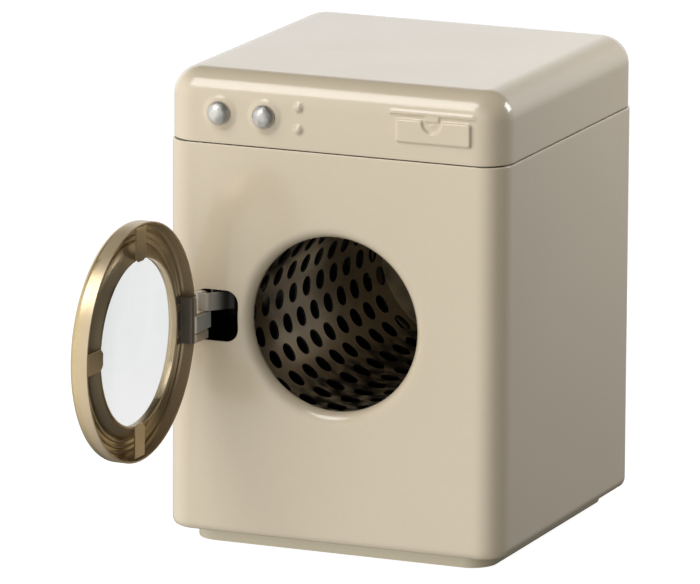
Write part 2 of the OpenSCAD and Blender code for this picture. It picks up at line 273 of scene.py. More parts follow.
def mixNode(tree, factor, a, b, mode="MIX"):
    node = tree.nodes.new("ShaderNodeMix")
    node.data_type = "RGBA"
    node.blend_type = mode
    if hasattr(factor, "is_linked"):
        tree.links.new(factor, node.inputs["Factor"])
    else:
        node.inputs["Factor"].default_value = factor
    for socket, value in (("A", a), ("B", b)):
        target = [s for s in node.inputs if s.name == socket and s.type == "RGBA"][0]
        if hasattr(value, "is_linked"):
            tree.links.new(value, target)
        else:
            target.default_value = (*value, 1)
    return [s for s in node.outputs if s.type == "RGBA"][0]


def bumpNode(tree, height, strength, distance, normal=None):
    node = tree.nodes.new("ShaderNodeBump")
    node.inputs["Strength"].default_value = strength
    node.inputs["Distance"].default_value = distance
    tree.links.new(height, node.inputs["Height"])
    if normal:
        tree.links.new(normal, node.inputs["Normal"])
    return node.outputs["Normal"]


def attributeNode(tree, name):
    node = tree.nodes.new("ShaderNodeAttribute")
    node.attribute_name = name
    return node.outputs["Fac"]


def paint(name, colour, dark, wearAndHighlight):
    material, tree, shader, coords = newMaterial(name)
    broad = noiseNode(tree, coords, 18, 2, 0.5)
    specks = noiseNode(tree, coords, 700, 1, 0.4)
    base = rampNode(tree, broad, ((0.3, dark), (0.7, colour)))
    speckled = mixNode(tree, rangeNode(tree, specks, 0, wearAndHighlight, 0.45, 0.75), base, tuple(c * 0.8 for c in dark))
    # Painted shade: where the inside attribute is set, the paint is mixed to near black
    withPaintedShade = mixNode(tree, attributeNode(tree, "inside"), speckled, (0.012, 0.010, 0.008))
    tree.links.new(withPaintedShade, shader.inputs["Base Color"])
    tree.links.new(
        rangeNode(tree, noiseNode(tree, coords, 60, 3, 0.6), 0.20, 0.26), shader.inputs["Roughness"]
    )
    wave = bumpNode(tree, noiseNode(tree, coords, 26, 1, 0.4), 0.08, 0.0010)
    peel = bumpNode(tree, noiseNode(tree, coords, 260, 2, 0.5), 0.012, 0.0001, wave)
    tree.links.new(peel, shader.inputs["Normal"])
    shader.inputs["Specular IOR Level"].default_value = 0.5
    shader.inputs["Coat Weight"].default_value = 0.45
    shader.inputs["Coat Roughness"].default_value = 0.1
    return material


def metal(name, stops, rough, streak, streakScale, bump, patinaAndPaintedLight=None, dull=0.5, solid=1.0):
    material, tree, shader, coords = newMaterial(name)
    broad = noiseNode(tree, coords, 90, 4, 0.6)
    base = rampNode(tree, broad, stops)
    lines = noiseNode(tree, coords, streakScale, 4, 0.65, streak)
    toned = mixNode(tree, rangeNode(tree, lines, 0, 0.5), base, stops[0][1])
    roughness = rangeNode(tree, lines, rough[0], rough[1], 0.25, 0.75)
    # This mask is real patina on the door's parts and painted light on the drum: a painted highlight band and
    # painted shade
    if patinaAndPaintedLight:
        mask = attributeNode(tree, "patinaAndPaintedLight")
        cloudy = tree.nodes.new("ShaderNodeMath")
        cloudy.operation = "MULTIPLY"
        tree.links.new(mask, cloudy.inputs[0])
        tree.links.new(rangeNode(tree, noiseNode(tree, coords, 160, 3, 0.6), 0.75, 1.0), cloudy.inputs[1])
        toned = mixNode(tree, cloudy.outputs[0], toned, patinaAndPaintedLight)
        tree.links.new(rangeNode(tree, mask, solid, dull, 0, 1), shader.inputs["Metallic"])
    # Painted shade: where the inside attribute is set, the metal is mixed to near black
    toned = mixNode(tree, attributeNode(tree, "inside"), toned, (0.012, 0.010, 0.008))
    tree.links.new(toned, shader.inputs["Base Color"])
    tree.links.new(roughness, shader.inputs["Roughness"])
    shader.inputs["Metallic"].default_value = solid
    grain = bumpNode(tree, lines, bump[0], 0.00004)
    dents = bumpNode(tree, noiseNode(tree, coords, bump[2], 1, 0.4), bump[1], 0.0003, grain)
    tree.links.new(dents, shader.inputs["Normal"])
    return material


looks = {
    "enamel": paint("enamelPaint", (0.650, 0.553, 0.405), (0.628, 0.533, 0.386), 0.06),
    # The plinth paint is a darker copy of the enamel: painted shade for the strip recessed under the cabinet
    "plinth_enamel": paint("plinthPaint", (0.560, 0.490, 0.340), (0.520, 0.450, 0.310), 0.08),
    "drum_bronze": metal(
        "drumBronze", ((0.3, (0.60, 0.51, 0.37)), (0.7, (0.86, 0.76, 0.60))), (0.285, 0.37), (1, 0.12, 1),
        500, (0.015, 0.3, 90), (0.60, 0.47, 0.28), 0.55
    ),
    "antique_brass": metal(
        "antiqueBrass", ((0.3, (0.51, 0.39, 0.215)), (0.7, (0.64, 0.51, 0.30))), (0.285, 0.335), (1, 1, 1),
        300, (0.015, 0.2, 90), (0.60, 0.48, 0.31), 0.35
    ),
    "hinge_steel": metal(
        "hingeSteel", ((0.3, (0.80, 0.78, 0.70)), (0.7, (0.86, 0.84, 0.77))), (0.35, 0.5), (1, 1, 0.15),
        400, (0.1, 0.25, 150), (0.72, 0.60, 0.44), 0.15, 0.15
    ),
    "bright_steel": metal(
        "brightSteel", ((0.3, (0.50, 0.49, 0.47)), (0.7, (0.68, 0.67, 0.65))), (0.2, 0.26), (1, 0.2, 1),
        600, (0.15, 0.2, 160)
    ),
    "pewter": metal(
        "knobPewter", ((0.3, (0.50, 0.49, 0.45)), (0.7, (0.74, 0.73, 0.69))), (0.36, 0.55), (1, 1, 1), 420,
        (0.5, 0.7, 700)
    ),
}


def clearPane():
    material, tree, shader, coords = newMaterial("clearPane")
    haze = noiseNode(tree, coords, 60, 3, 0.5)
    tree.links.new(
        rampNode(tree, haze, ((0.3, (0.755, 0.765, 0.765)), (0.7, (0.775, 0.785, 0.785)))),
        shader.inputs["Base Color"]
    )
    tree.links.new(
        rangeNode(tree, noiseNode(tree, coords, 220, 4, 0.6), 0.0, 0.012), shader.inputs["Roughness"]
    )
    shader.inputs["Transmission Weight"].default_value = 1.0
    shader.inputs["IOR"].default_value = 1.12
    tree.links.new(bumpNode(tree, noiseNode(tree, coords, 40, 1, 0.4), 0.05, 0.0002), shader.inputs["Normal"])
    return material


looks["clear_pane"] = clearPane()
print("materials made")


# Cabinet outline at an inset from the walls, anticlockwise from the front left
def outline(inset, z, frontX, spare=(0, 0), corner=cabinet["corner"], cornerSteps=16):
    w = cabinet["width"] / 2 - spare[0]
    d = cabinet["depth"] / 2 - spare[1]
    cx, cy = w - corner, d - corner
    r = max(corner - inset, 0.02)
    shift = max(inset - corner, 0)
    cx, cy = cx - shift, cy - shift
    scale = cx / (cabinet["width"] / 2 - corner)
    points = [(x * scale, -cy - r, z) for x in frontX]
    sides = (-1, -0.985, -0.5, 0, 0.5, 0.985, 1)
    points += [(u, v, z) for u, v in arc(cx, -cy, r, -90, 0, cornerSteps)[1:-1]]
    points += [(cx + r, t * cy, z) for t in sides]
    points += [(u, v, z) for u, v in arc(cx, cy, r, 0, 90, cornerSteps)[1:-1]]
    points += [(-t * cx, cy + r, z) for t in sides]
    points += [(u, v, z) for u, v in arc(-cx, cy, r, 90, 180, cornerSteps)[1:-1]]
    points += [(-cx - r, -t * cy, z) for t in sides]
    points += [(u, v, z) for u, v in arc(-cx, -cy, r, 180, 270, cornerSteps)[1:-1]]
    return points


# Body shell
shell = {
    "gap": 0.13, "roll": 0.28, "neck": 3.0, "neckInset": 0.65, "hem": 3.0,
    "opening": 22.95, "lip": 3.2, "foot": 2.4, "slotX": (-38.5, -26.15), "slotZ": (54.65, 68.15),
    "slotR": 3.4, "slotRoll": 0.14, "lockX": 30.0, "lockW": 4.0, "lockT": 0.5, "neckDrop": 1.2,
    "lipSteps": 176,
}


def shellProfile():
    c, s = cabinet, shell
    top = c["seam"] - s["gap"]
    r = s["roll"]
    t = c["sheet"]
    f = s["foot"]
    out = [(s["hem"], c["bottom"]), (f + 0.3, c["bottom"])]
    out += [(f - f * math.sin(a), c["bottom"] + f - f * math.cos(a)) for a in quarter(6)]
    out.append((0, c["bottom"] + f + 0.5))
    lower = len(out) - 1
    out.append((0, top - r - 0.5))
    out += [
        (r - r * math.cos(a), top - r + r * math.sin(a))
        for a in (math.radians(x) for x in (0, 22, 45, 67, 90))
    ]
    near, far = s["neckInset"], s["neckInset"] + t
    neckTop, neckEnd = c["seam"] + s["neck"], c["seam"] - s["neckDrop"]
    out += [(near, top), (near, neckTop), (far, neckTop), (far, neckEnd), (t, neckEnd)]
    inner = len(out) - 1
    out.append((t, c["bottom"] + f + 0.5))
    out += [(f - (f - t) * math.cos(a), c["bottom"] + f - (f - t) * math.sin(a)) for a in quarter(3)]
    out.append((s["hem"], c["bottom"] + t))
    return out, lower, inner


def wallHoles(y, radius, grow):
    s = shell
    w = s["slotX"][1] - s["slotX"][0] + 2 * grow
    h = s["slotZ"][1] - s["slotZ"][0] + 2 * grow
    cx = sum(s["slotX"]) / 2
    cz = sum(s["slotZ"]) / 2
    slot = [(cx + u, y, cz + v) for u, v in roundedBox(w, h, s["slotR"] + grow, 12)]
    ring = [(u, y, v) for u, v in circle(0, cabinet["axis"], radius, s["lipSteps"])]
    return ring, slot


def makeShell():
    b = Build()
    half = cabinet["width"] / 2 - cabinet["corner"]
    frontX = [-half, -half + 0.4, -20, 0, 20, half - 0.4, half]
    profile, lower, inner = shellProfile()
    rings = [outline(i, z, frontX) for i, z in profile]
    count = len(rings[0])
    points = [p for ring in rings for p in ring]
    faces = []
    for k in range(len(rings)):
        n = (k + 1) % len(rings)
        for i in range(count):
            if k in (lower, inner) and 1 <= i < 5:
                continue
            j = (i + 1) % count
            faces.append((k * count + i, k * count + j, n * count + j, n * count + i))
    b.add(points, faces)
    lip = shell["lip"]
    edge = shell["opening"] + lip
    roll = shell["slotRoll"]
    for k, y, radius, grow in (
        (lower, frontY, edge + 0.05, roll), (inner, frontY + cabinet["sheet"], edge, 0)
    ):
        n = (k + 1) % len(rings)
        border = [rings[k][i] for i in range(1, 6)] + [rings[n][i] for i in range(5, 0, -1)]
        ring, slot = wallHoles(y, radius, grow)
        flat = border + ring + slot
        tris = tessellate_polygon([[(p[0], p[2], 0) for p in loop] for loop in (border, ring, slot)])
        b.add(flat, [tuple(t) for t in tris])
    rims = []
    for grow, y in (
        (roll, 0), (roll * 0.62, roll * 0.08), (roll * 0.29, roll * 0.29), (roll * 0.08, roll * 0.62),
        (0, roll), (0, cabinet["sheet"])
    ):
        rims.append(wallHoles(frontY + y, edge, grow)[1])
    b.loops(rims, caps=False)
    t = cabinet["sheet"]
    outer = [(edge + 0.05, frontY)] + [
        (edge - lip * math.sin(a), frontY + lip - lip * math.cos(a)) for a in quarter(18)
    ]
    back = [(edge - (lip - t) * math.cos(a), frontY + lip - (lip - t) * math.sin(a)) for a in quarter(8)]
    rings = []
    for r, y in outer + back:
        rings.append([(u, y, v) for u, v in circle(0, cabinet["axis"], r, shell["lipSteps"])])
    b.loops(rings, caps=False)
    return b


def makeLock(b):
    s = shell
    z0, z1 = cabinet["bottom"], cabinet["seam"] - s["gap"] - 0.1
    left, right = s["lockX"] - s["lockW"] / 2, s["lockX"] + s["lockW"] / 2
    low, high = rearY - 0.2, rearY + s["lockT"]
    cut = softProfile([(left, low), (left, high), (right, high), (right, low)], 0.2, 4)
    b.loops([[(x, y, z) for x, y in cut] for z in (z0, z0 + 0.3, z1 - 0.3, z1)])


shellBuild = makeShell()
makeLock(shellBuild)
bodyShell = finishMesh(shellBuild, "bodyShell", 40)


def inCabinet(x, y, z):
    inset = -boxDistance(x, y, cabinet["width"], cabinet["depth"], cabinet["corner"])
    if inset < cabinet["sheet"] - 0.1:
        return 0.0
    low = cabinet["bottom"] + shell["foot"] - z
    if low > 0:
        return 1.0 if math.hypot(
            max(0, shell["foot"] - inset), low
        ) < shell["foot"] - cabinet["sheet"] / 2 else 0.0
    lip = shell["lip"]
    u = shell["opening"] + lip - math.hypot(x, z - cabinet["axis"])
    v = frontY + lip - y
    if u > 0 and v > -0.1:
        return 1.0 if math.hypot(u, max(v, 0)) < lip - cabinet["sheet"] / 2 else 0.0
    return 1.0


def paintField(obj, name, rule):
    layer = obj.data.attributes.new(name, "FLOAT", "POINT")
    for v in obj.data.vertices:
        layer.data[v.index].value = rule(v.co.x / mm, v.co.y / mm, v.co.z / mm)


# Painted shade: the cabinet's inner faces are coloured near black in place of the shade inside it
paintField(bodyShell, "inside", inCabinet)
register(bodyShell, "cabinet", "body_shell", looks["enamel"])
print("shell made")

# Top cap with its pressed front
capLook = {
    "knobs": ((-31.3, 114.8), (-18.8, 114.8)), "bossR": 4.9, "press": 0.6,
    "dots": ((-9.3, 117.85), (-9.3, 112.15)), "dotR": 1.15,
    "panel": (28.15, 114.45, 21.1, 6.7), "notch": (27.7, 117.0, 2.9),
    "ridge": (27.5, 118.95, 23.6, 1.25), "step": 0.25,
}


def pressing(x, z):
    c = capLook
    h = 0.0
    for kx, kz in c["knobs"]:
        d = math.hypot(x - kx, z - kz)
        h = max(h, 0.8 * c["press"] * (1 - smoothStep(c["bossR"] - 1.7, c["bossR"] + 0.1, d)))
    for kx, kz in c["dots"]:
        d = math.hypot(x - kx, z - kz) / c["dotR"]
        if d < 1.35:
            h = max(h, 1.5 * c["press"] * math.cos(min(1.0, d / 1.35) * math.pi / 2) ** 1.3)
    px, pz, w, t = c["panel"]
    inside = -boxDistance(x - px, z - pz, w, t, 1.0)
    if inside > 0:
        level = 1.25 * c["press"] * smoothStep(0, 0.75, inside)
        nx, nz, nr = c["notch"]
        dx, dz = x - nx, z - nz
        reach = math.hypot(dx, dz) if dz < 0 else abs(dx)
        dip = 1 - smoothStep(nr - 0.45, nr + 0.05, reach)
        dent = 0.28 * max(0, 1 - math.hypot((dx - 0.2) / 1.1, (dz + 0.7) / 0.7)) ** 0.7
        level = level * (1 - dip) + (0.08 + dent) * dip
        h = max(h, level)
    rx, rz, rw, rt = c["ridge"]
    inside = -boxDistance(x - rx, z - rz, rw, rt, 0.6)
    if inside > 0:
        h = max(h, 1.1 * c["press"] * smoothStep(-0.1, 0.65, inside))
    tab = -boxDistance(x - c["notch"][0], z - rz + 1.0, 4.4, 1.9, 0.5)
    if tab > 0:
        h = max(h, c["press"] * 0.85 * smoothStep(-0.05, 0.4, tab))
    return h


def makeCap():
    b = Build()
    c = cabinet
    half = c["width"] / 2 - c["capCorner"]
    step = capLook["step"]
    count = int(2 * half / step)
    frontX = [-half + 2 * half * i / count for i in range(count + 1)]
    low = c["seam"] + shell["gap"]
    r = shell["roll"]
    top = c["height"] - c["edge"]
    inner = [(c["edge"] + 0.5, c["height"] - c["sheet"])]
    inner += [
        (c["edge"] - (c["edge"] - c["sheet"]) * math.sin(a), top + (c["edge"] - c["sheet"]) * math.cos(a))
        for a in quarter(6)
    ]
    inner += [(c["sheet"], low + 0.1)]
    outer = [(r - r * math.sin(a), low + r - r * math.cos(a)) for a in quarter(4)]
    rows = int((top - low - r) / step)
    outer += [(0, low + r + (top - low - r) * i / rows) for i in range(1, rows)]
    outer += [(c["edge"] - c["edge"] * math.cos(a), top + c["edge"] * math.sin(a)) for a in quarter(26)]
    outer.append((c["edge"] + 0.5, c["height"]))
    profile = inner + outer
    rings = []
    for k, (i, z) in enumerate(profile):
        ring = outline(i, z, frontX, corner=c["capCorner"])
        if k >= len(inner) and z < 123:
            ring = [
                (x, y - pressing(x, z), z) if n < len(frontX) else (x, y, z)
                for n, (x, y, z) in enumerate(ring)
            ]
        rings.append(ring)
    b.loops(rings, caps=False)
    for ring in (rings[0], rings[-1]):
        b.lid(ring)
    return b


topCap = finishMesh(makeCap(), "topCap", 50)
register(topCap, "cabinet", "top_cap", looks["enamel"])
print("cap made")

# Base pan with its inset plinth
pan = {
    "front": 5.0, "side": 5.4, "wall": 3.95, "under": 4.15, "shelf": 4.7, "rimTop": 10.1, "rimGap": 0.66,
}


def makePan():
    b = Build()
    c = cabinet
    half = c["width"] / 2 - c["corner"]
    frontX = [-half, -half / 2, 0, half / 2, half]
    spare = (pan["side"], pan["front"])
    t = c["sheet"]
    wall, under, shelf, rimTop = pan["wall"], pan["under"], pan["shelf"], pan["rimTop"]
    profile = [(0.5, 0), (0.15, 0.08), (0, 0.4), (0, wall), (t, wall), (t, t + 0.1), (t + 0.3, t)]
    rings = [outline(i, z, frontX, spare) for i, z in profile]
    b.loops(rings, caps=False)
    for ring in (rings[0], rings[-1]):
        b.lid(ring)
    near, far, hem = pan["rimGap"], pan["rimGap"] + t, shell["hem"]
    rim = [(near, under), (near, rimTop), (far, rimTop), (far, shelf), (hem, shelf), (hem, under)]
    b.loops([outline(i, z, frontX) for i, z in rim], closed=True)
    ledge = [outline(hem - 0.1, z, frontX) for z in (shelf, under)]
    floorEdge = ((0, under - 0.05), (0.1, wall - 0.05), (t, wall), (t, shelf))
    ledge += [outline(i, z, frontX, spare) for i, z in floorEdge]
    b.loops(ledge, closed=True)
    return b


basePan = finishMesh(makePan(), "basePan", 40)
register(basePan, "cabinet", "base_pan", looks["plinth_enamel"])
print("pan made")

# Drum sheet: Geometry Nodes lays punched cells in staggered rows and wraps them into a tube
drum = {
    "inner": 24.5, "sheet": 0.5, "mouth": -45.3, "end": 44.5, "rows": 22, "columns": 13,
    "pitch": 8.9, "shift": 5.664, "firstHole": -38.8, "lastHole": 41.4, "holeR": 2.6, "phase": 254.0,
    "roll": 0.13, "margin": 0.45, "rimSteps": 160,
}


def cellMesh(name, holed):
    w = 2 * math.pi * drum["inner"] / drum["rows"]
    h = drum["pitch"]
    r, t, roll = drum["holeR"], drum["sheet"], drum["roll"]
    side = 8
    border = [
        (w * (i / side - 0.5), -h / 2) for i in range(side)
    ] + [(w / 2, h * (i / side - 0.5)) for i in range(side)]
    border += [(w * (0.5 - i / side), h / 2) for i in range(side)] + [
        (-w / 2, h * (0.5 - i / side)) for i in range(side)
    ]
    b = Build()
    if holed:
        def ring(radius, z):
            return [
                (radius * math.cos(math.atan2(v, u)), radius * math.sin(math.atan2(v, u)), z)
                for u, v in border
            ]
        rings = [[(u, v, 0) for u, v in border]]
        rings += [
            ring(r + drum["margin"], 0), ring(r + roll, 0), ring(r + roll * 0.35, roll * 0.35),
            ring(r, roll), ring(r, t - roll)
        ]
        rings += [ring(r + roll, t), [(u, v, t) for u, v in border]]
        b.add([p for q in rings for p in q], [f[::-1] for f in ringFaces(len(border), len(rings))])
    else:
        for z, outward in ((0, False), (t, True)):
            pts = [
                (w * (i / side - 0.5), h * (j / side - 0.5), z) for j in range(side + 1)
                for i in range(side + 1)
            ]
            quads = []
            for j in range(side):
                for i in range(side):
                    a = j * (side + 1) + i
                    q = (a, a + 1, a + side + 2, a + side + 1)
                    quads.append(q if outward else q[::-1])
            b.add(pts, quads)
    mesh = bpy.data.meshes.new(name)
    mesh.from_pydata(b.points, [], b.faces)
    obj = bpy.data.objects.new(name, mesh)
    scene.collection.objects.link(obj)
    return obj


def mathNode(tree, kind, a, b=None):
    node = tree.nodes.new("ShaderNodeMath")
    node.operation = kind
    for i, value in enumerate((a, b)):
        if value is None:
            continue
        if hasattr(value, "is_linked"):
            tree.links.new(value, node.inputs[i])
        else:
            node.inputs[i].default_value = value
    return node.outputs[0]


def drumTree():
    tree = bpy.data.node_groups.new("drumPattern", "GeometryNodeTree")
    tree.interface.new_socket("Geometry", in_out="INPUT", socket_type="NodeSocketGeometry")
    tree.interface.new_socket("Geometry", in_out="OUTPUT", socket_type="NodeSocketGeometry")
    named = (
        ("Rows", drum["rows"]), ("Columns", drum["columns"]), ("Pitch", drum["pitch"]),
        ("Shift", drum["shift"]), ("First Hole", drum["firstHole"]), ("Last Hole", drum["lastHole"]),
        ("Mouth", drum["mouth"]), ("End", drum["end"]), ("Radius", drum["inner"]),
        ("Hole Radius", drum["holeR"]), ("Phase", math.radians(drum["phase"])),
    )
    for label, value in named:
        socket = tree.interface.new_socket(label, in_out="INPUT", socket_type="NodeSocketFloat")
        socket.default_value = value
    given = tree.nodes.new("NodeGroupInput").outputs
    line = tree.nodes.new("GeometryNodeMeshLine")
    tree.links.new(mathNode(tree, "MULTIPLY", given["Rows"], given["Columns"]), line.inputs["Count"])
    index = tree.nodes.new("GeometryNodeInputIndex").outputs[0]
    row = mathNode(
        tree, "FLOOR", mathNode(tree, "DIVIDE", mathNode(tree, "ADD", index, 0.5), given["Columns"])
    )
    column = mathNode(tree, "SUBTRACT", index, mathNode(tree, "MULTIPLY", row, given["Columns"]))
    half = mathNode(tree, "DIVIDE", given["Rows"], 2.0)
    start = mathNode(
        tree, "ADD", given["First Hole"],
        mathNode(tree, "MULTIPLY", mathNode(tree, "FLOORED_MODULO", row, half), given["Shift"])
    )
    low = mathNode(tree, "ADD", given["Mouth"], given["Hole Radius"])
    first = mathNode(
        tree, "ADD", low,
        mathNode(tree, "FLOORED_MODULO", mathNode(tree, "SUBTRACT", start, low), given["Pitch"])
    )
    along = mathNode(
        tree, "ADD", first,
        mathNode(tree, "MULTIPLY", mathNode(tree, "SUBTRACT", column, 1.0), given["Pitch"])
    )
    cell = mathNode(tree, "DIVIDE", mathNode(tree, "MULTIPLY", given["Radius"], 2 * math.pi), given["Rows"])
    place = tree.nodes.new("ShaderNodeCombineXYZ")
    tree.links.new(mathNode(tree, "MULTIPLY", row, cell), place.inputs[0])
    tree.links.new(along, place.inputs[1])
    spots = tree.nodes.new("GeometryNodeSetPosition")
    tree.links.new(line.outputs[0], spots.inputs["Geometry"])
    tree.links.new(place.outputs[0], spots.inputs["Position"])
    holed = mathNode(
        tree, "MULTIPLY", mathNode(tree, "GREATER_THAN", column, 0.5),
        mathNode(tree, "LESS_THAN", along, mathNode(tree, "ADD", given["Last Hole"], 0.01))
    )
    join = tree.nodes.new("GeometryNodeJoinGeometry")
    for name, chosen in (("punchedCell", holed), ("plainCell", mathNode(tree, "SUBTRACT", 1.0, holed))):
        info = tree.nodes.new("GeometryNodeObjectInfo")
        info.inputs["Object"].default_value = bpy.data.objects[name]
        info.inputs["As Instance"].default_value = True
        copies = tree.nodes.new("GeometryNodeInstanceOnPoints")
        tree.links.new(spots.outputs[0], copies.inputs["Points"])
        tree.links.new(info.outputs["Geometry"], copies.inputs["Instance"])
        tree.links.new(chosen, copies.inputs["Selection"])
        tree.links.new(copies.outputs[0], join.inputs[0])
    real = tree.nodes.new("GeometryNodeRealizeInstances")
    tree.links.new(join.outputs[0], real.inputs[0])
    split = tree.nodes.new("ShaderNodeSeparateXYZ")
    tree.links.new(tree.nodes.new("GeometryNodeInputPosition").outputs[0], split.inputs[0])
    angle = mathNode(tree, "ADD", given["Phase"], mathNode(tree, "DIVIDE", split.outputs[0], given["Radius"]))
    radius = mathNode(tree, "ADD", given["Radius"], split.outputs[2])
    bent = tree.nodes.new("ShaderNodeCombineXYZ")
    tree.links.new(mathNode(tree, "MULTIPLY", radius, mathNode(tree, "SINE", angle)), bent.inputs[0])
    tree.links.new(
        mathNode(
            tree, "MINIMUM", given["End"], mathNode(tree, "MAXIMUM", given["Mouth"], split.outputs[1])
        ), bent.inputs[1]
    )
    tree.links.new(mathNode(tree, "MULTIPLY", radius, mathNode(tree, "COSINE", angle)), bent.inputs[2])
    wrap = tree.nodes.new("GeometryNodeSetPosition")
    tree.links.new(real.outputs[0], wrap.inputs["Geometry"])
    tree.links.new(bent.outputs[0], wrap.inputs["Position"])
    coat = tree.nodes.new("GeometryNodeSetMaterial")
    coat.inputs["Material"].default_value = looks["drum_bronze"]
    tree.links.new(wrap.outputs[0], coat.inputs["Geometry"])
    out = tree.nodes.new("NodeGroupOutput")
    tree.links.new(coat.outputs[0], out.inputs[0])
    return tree


def makeDrum():
    cells = [cellMesh("punchedCell", True), cellMesh("plainCell", False)]
    seed = bpy.data.objects.new("drumSeed", bpy.data.meshes.new("drumSeed"))
    scene.collection.objects.link(seed)
    modifier = seed.modifiers.new("pattern", "NODES")
    modifier.node_group = drumTree()
    for item in modifier.node_group.interface.items_tree:
        if item.item_type == "SOCKET" and item.socket_type == "NodeSocketFloat":
            modifier[item.identifier] = item.default_value
    bpy.context.view_layer.update()
    made = seed.evaluated_get(bpy.context.evaluated_depsgraph_get())
    mesh = bpy.data.meshes.new_from_object(made)
    mesh.name = "drumShell"
    bm = bmesh.new()
    bm.from_mesh(mesh)
    bmesh.ops.remove_doubles(bm, verts=bm.verts, dist=0.004)
    bmesh.ops.dissolve_degenerate(bm, edges=bm.edges, dist=0.0005)
    rim = drum["rimSteps"]
    for y, turn in ((drum["mouth"], 1), (drum["end"], -1)):
        for i in range(rim):
            quad = []
            for r, j in ((0, 0), (drum["sheet"], 0), (drum["sheet"], 1), (0, 1)):
                a = 2 * math.pi * (i + j) / rim
                quad.append(
                    bm.verts.new(((drum["inner"] + r) * math.sin(a), y, (drum["inner"] + r) * math.cos(a)))
                )
            bm.faces.new(quad if turn > 0 else quad[::-1])
    bmesh.ops.translate(bm, verts=bm.verts, vec=(0, 0, cabinet["axis"]))
    bmesh.ops.scale(bm, verts=bm.verts, vec=(mm, mm, mm))
    bm.to_mesh(mesh)
    bm.free()
    mesh.shade_smooth()
    mesh.set_sharp_from_angle(angle=math.radians(50))
    axis = cabinet["axis"] * mm
    normals = []
    for v, n in zip(mesh.vertices, mesh.vertex_normals):
        out = Vector((v.co.x, 0, v.co.z - axis))
        r = out.length / mm
        if abs(r - drum["inner"]) < 0.02:
            normals.append(-out.normalized())
        elif abs(r - drum["inner"] - drum["sheet"]) < 0.02:
            normals.append(out.normalized())
        else:
            normals.append(n.vector)
    mesh.normals_split_custom_set_from_vertices(normals)
    obj = bpy.data.objects.new("drumShell", mesh)
    scene.collection.objects.link(obj)
    for o in cells + [seed]:
        bpy.data.objects.remove(o)
    return obj


drumShell = makeDrum()


# Degrees below the left of the resting drum
def drumTurn(x, z):
    return (math.degrees(math.atan2(-(z - cabinet["axis"]), -x)) + 180) % 360 - 180


# Painted light on the drum's bronze: a painted highlight band along the left of the resting drum, painted
# shade towards its top, floor and far end
def drumPaintedLight(x, y, z):
    turn = drumTurn(x, z)
    spread = 36 if turn > 2 else 25
    wearAndHighlight = math.exp(-((turn - 2) / spread) ** 2) * (1 - 0.6 * smoothStep(8, 44, y))
    cloud = noise.noise(Vector((x, y * 0.5, z)) * 0.11)
    return min(1.0, max(0.0, 0.80 - 1.0 * wearAndHighlight + 0.3 * cloud))


# Painted shade on the drum: its outer skin and hole walls near black, and darker towards its top near the
# mouth and towards its floor
def drumPaintedShade(x, y, z):
    r = math.hypot(x, z - cabinet["axis"])
    if r > drum["inner"] + 0.03:
        return 1.0
    turn = drumTurn(x, z)
    cloud = noise.noise(Vector((x, y, z)) * 0.35)
    upper = smoothStep(10, 30, -turn) * (1 - smoothStep(-32, -8, y))
    lower = smoothStep(42, 66, turn)
    return min(1.0, max(0.0, (upper + lower) * (0.75 + 1.2 * cloud)))


# Painted light and painted shade on the drum shell
paintField(drumShell, "patinaAndPaintedLight", drumPaintedLight)
paintField(drumShell, "inside", drumPaintedShade)
register(drumShell, "drum", "drum_shell", looks["drum_bronze"])
print("drum made", len(drumShell.data.polygons), "faces")

# Round parts on the drum's axis
axisParts = {
    "back": ((1.65, 44.5), (25.0, 44.5), (25.0, 39.5), (25.45, 39.5), (25.45, 45.0), (1.65, 45.0)),
    "hub": ((1.55, 38.7), (3.0, 38.7), (3.0, 43.7), (7.0, 43.7), (7.0, 44.5), (1.55, 44.5)),
    "plate": ((1.5, 46.1), (12.0, 46.1), (12.0, 46.9), (1.5, 46.9)),
    "bush": ((1.5, 45.1), (3.0, 45.1), (3.0, 46.1), (1.5, 46.1)),
    "washer": ((1.5, 38.0), (3.6, 38.0), (3.6, 38.6), (1.5, 38.6)),
    "axle": (
        (0.0, 36.8), (2.2, 36.8), (3.0, 37.2), (3.0, 38.0), (1.5, 38.0), (1.5, 47.5), (3.0, 47.5),
        (3.0, 48.3), (2.2, 48.7), (0.0, 48.7)
    ),
}


def turned(name, corners, radius, steps, body, node, slot):
    b = Build()
    closed = corners[0][0] > 0
    lathe(b, softProfile(list(corners), radius, 4, closed), steps, (0, cabinet["axis"]), closed)
    return register(finishMesh(b, name, 35), body, node, looks[slot])


drumBack = turned("drumBack", axisParts["back"], 0.3, 160, "drum", "drum_back", "drum_bronze")
# Painted shade: the drum's back plate is darkened to a deep brown
paintField(drumBack, "patinaAndPaintedLight", lambda x, y, z: 0.9)
paintField(drumBack, "inside", lambda x, y, z: 0.72)
turned("drumHub", axisParts["hub"], 0.25, 96, "drum", "drum_hub", "bright_steel")
turned("axlePlate", axisParts["plate"], 0.15, 96, "cabinet", "axle_plate", "bright_steel")
turned("axleBush", axisParts["bush"], 0.1, 64, "cabinet", "axle_bush", "bright_steel")
turned("axleWasher", axisParts["washer"], 0.15, 64, "cabinet", "axle_washer", "bright_steel")
turned("drumAxle", axisParts["axle"], 0.2, 64, "cabinet", "drum_axle", "bright_steel")


rivet = {"r": 0.8, "head": 0.3, "steps": 28, "hubRing": 5.0, "hubSpan": (43.7, 45.0), "leafSpan": 2.85}


def rivetProfile(low, high):
    r, t = rivet["r"], rivet["head"]
    wide = 1.5 * r
    head = [(0.0, low - t)] + [(wide * math.sin(a), low - t * math.cos(a)) for a in quarter(6)[1:]]
    tail = [(wide * math.cos(a), high + t * math.sin(a)) for a in quarter(6)[:-1]] + [(0.0, high + t)]
    return head + [(r, low), (r, high)] + tail


